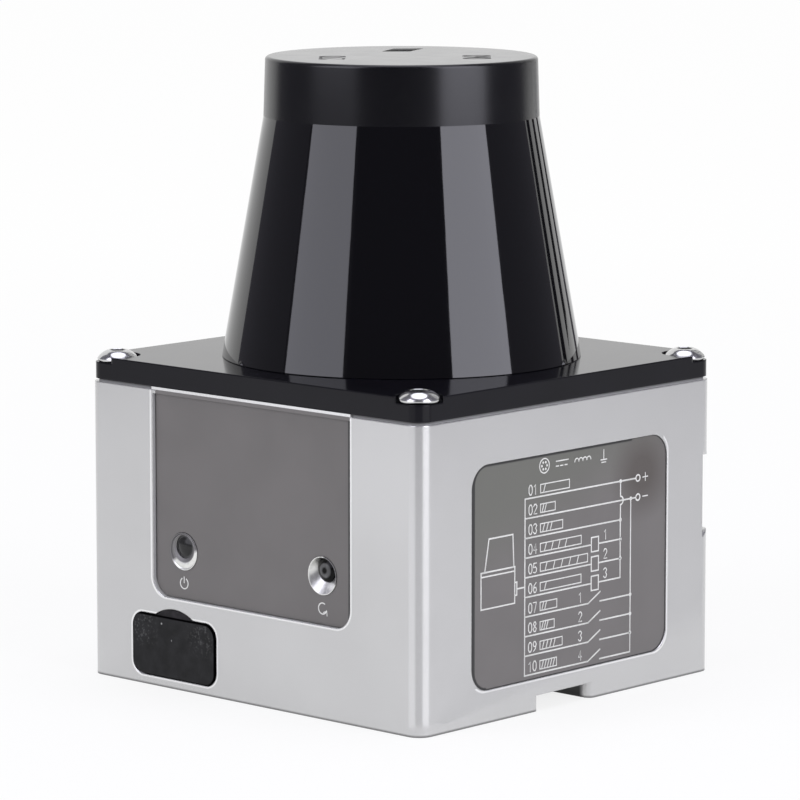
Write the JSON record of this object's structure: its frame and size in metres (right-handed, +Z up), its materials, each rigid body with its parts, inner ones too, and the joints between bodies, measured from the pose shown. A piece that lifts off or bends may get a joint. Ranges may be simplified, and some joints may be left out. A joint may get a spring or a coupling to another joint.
{
  "type": "lidar scanner",
  "caption": "Compact laser scanner: square metal base with indicator lights and a capped USB port, black lid, dark cone-shaped window hood, and a motor-driven slanted mirror inside.",
  "frame": {"origin": "on the scan axis, at the underside of the base, centre of the underside bolt pattern", "axes": "+Z up along the scan axis, -Y the front with the indicator lights, +X the side with the wiring plate, +Y the back with the round connector"},
  "size_m": [0.06, 0.0688, 0.083],
  "materials": {
    "anodised_metal": "satin",
    "lid_black": "semi-gloss black",
    "seal_rubber": "matt",
    "screw_steel": "bright",
    "hood_window": "glossy window with a satin cap band",
    "plate_grey": "satin",
    "bezel_bright": "polished",
    "lens_smoke": "clear smoke",
    "cap_rubber": "matt",
    "board_green": "solder mask",
    "black_plastic": "matt",
    "ivory_plastic": "matt",
    "ribbon_amber": "satin",
    "gold_brass": "bright",
    "nickel": "nickel plated",
    "frame_dark": "black anodised",
    "lens_glass": "coated",
    "motor_steel": "ground",
    "copper": "enamelled",
    "magnet": "sintered",
    "mirror": "front surface",
    "disc_black": "etched",
    "power_parts": "satin"
  },
  "bodies": {
    "base": {"base_housing": "anodised_metal", "lid_gasket": "seal_rubber", "lid_plate": "lid_black", "lid_screws": "screw_steel", "scan_hood": "hood_window", "hood_seal": "seal_rubber", "hood_screws": "screw_steel", "front_panel": "plate_grey", "wiring_plate": "plate_grey", "led_bezels": "bezel_bright", "power_led": "lens_smoke", "work_led": "lens_smoke", "front_board": "board_green", "front_board_screws": "screw_steel", "front_ribbon": "ribbon_amber", "usb_socket": "nickel", "usb_tongue": "black_plastic", "main_board": "board_green", "main_board_chips": "black_plastic", "ribbon_sockets": "ivory_plastic", "board_spacers": "gold_brass", "board_screws": "screw_steel", "power_board": "board_green", "power_header": "black_plastic", "power_parts": "power_parts", "connector_shell": "nickel", "connector_insert": "black_plastic", "connector_pins": "gold_brass", "connector_nut": "nickel", "connector_oring": "seal_rubber", "connector_board": "board_green", "connector_ribbon": "ribbon_amber", "optics_frame": "frame_dark", "receiver_tube": "frame_dark", "tube_screws": "screw_steel", "receiver_lens": "lens_glass", "lens_retainer": "frame_dark", "receiver_board": "board_green", "receiver_screws": "screw_steel", "receiver_shield": "nickel", "detector": "gold_brass", "stack_connector": "black_plastic", "transmit_tube": "frame_dark", "collimator_lens": "lens_glass", "laser_diode": "gold_brass", "laser_ribbon": "ribbon_amber", "bearing_sleeve": "gold_brass", "motor_bearings": "motor_steel", "motor_screws": "screw_steel", "motor_stator": "motor_steel", "motor_coils": "copper", "motor_ribbon": "ribbon_amber", "encoder_fork": "black_plastic"},
    "rotor": {"motor_shaft": "motor_steel", "rotor_bell": "motor_steel", "magnet_ring": "magnet", "encoder_disc": "disc_black", "mirror_holder": "frame_dark", "scan_mirror": "mirror"},
    "usb_cap": {"usb_cap": "cap_rubber"}
  },
  "joints": [
    {"name": "rotor_spin", "type": "hinge", "parent": "base", "child": "rotor", "pos_m": [0, 0, 0.055], "axis": [0, 0, 1], "continuous": true},
    {"name": "usb_cap_pull", "type": "slide", "parent": "base", "child": "usb_cap", "axis": [0, -1, 0], "range_m": [0, 0.008]}
  ]
}
